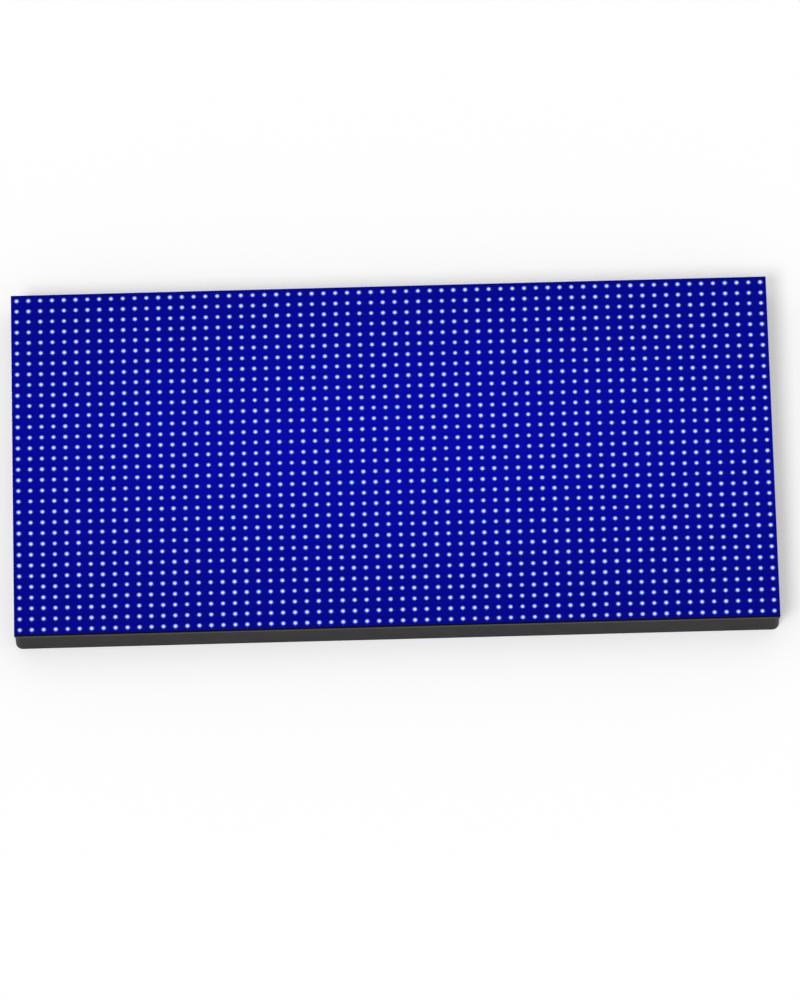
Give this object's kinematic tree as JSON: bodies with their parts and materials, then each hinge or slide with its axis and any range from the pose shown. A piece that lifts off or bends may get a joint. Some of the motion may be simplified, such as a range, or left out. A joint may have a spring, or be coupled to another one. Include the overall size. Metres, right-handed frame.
{
  "type": "led dot matrix display module",
  "caption": "Flat full-colour LED dot matrix module: round lit dots in a louvred mask, circuit board, ribbed rear frame with threaded inserts.",
  "frame": {"origin": "middle of the module's back, on the plane that the rear frame lies on", "axes": "+X right along the rows of LEDs, +Y up the columns towards the top edge, +Z out of the lit face"},
  "size_m": [0.3198, 0.1598, 0.014],
  "materials": {
    "mask_plastic": "matte",
    "led_package": "satin",
    "board_laminate": "satin",
    "frame_plastic": "matte",
    "insert_brass": "satin",
    "screw_steel": "satin",
    "header_plastic": "satin",
    "pin_gold": "polished",
    "terminal_plastic": "satin",
    "pin_tin": "satin",
    "chip_plastic": "matte",
    "capacitor_can": "satin",
    "resistor_body": "satin",
    "ceramic_body": "satin"
  },
  "bodies": {
    "root": {"mask": "mask_plastic", "mask_bosses": "mask_plastic", "circuit_board": "board_laminate", "rear_frame": "frame_plastic", "threaded_inserts": "insert_brass", "case_screws": "screw_steel", "input_shroud": "header_plastic", "input_pins": "pin_gold", "output_shroud": "header_plastic", "output_pins": "pin_gold", "power_terminal": "terminal_plastic", "power_pins": "pin_tin", "row_switches": "chip_plastic", "row_decoders": "chip_plastic", "signal_buffers": "chip_plastic", "smoothing_capacitors": "capacitor_can", "resistor_arrays": "resistor_body", "bypass_capacitors": "ceramic_body", "current_resistors": "resistor_body", "driver_ics_1": "chip_plastic", "driver_ics_2": "chip_plastic", "driver_ics_3": "chip_plastic", "driver_ics_4": "chip_plastic", "driver_ics_5": "chip_plastic", "driver_ics_6": "chip_plastic", "leds_1_1": "led_package", "leds_1_2": "led_package", "leds_1_3": "led_package", "leds_1_4": "led_package", "leds_1_5": "led_package", "leds_1_6": "led_package", "leds_1_7": "led_package", "leds_1_8": "led_package", "leds_2_1": "led_package", "leds_2_2": "led_package", "leds_2_3": "led_package", "leds_2_4": "led_package", "leds_2_5": "led_package", "leds_2_6": "led_package", "leds_2_7": "led_package", "leds_2_8": "led_package", "leds_3_1": "led_package", "leds_3_2": "led_package", "leds_3_3": "led_package", "leds_3_4": "led_package", "leds_3_5": "led_package", "leds_3_6": "led_package", "leds_3_7": "led_package", "leds_3_8": "led_package", "leds_4_1": "led_package", "leds_4_2": "led_package", "leds_4_3": "led_package", "leds_4_4": "led_package", "leds_4_5": "led_package", "leds_4_6": "led_package", "leds_4_7": "led_package", "leds_4_8": "led_package"}
  },
  "joints": []
}
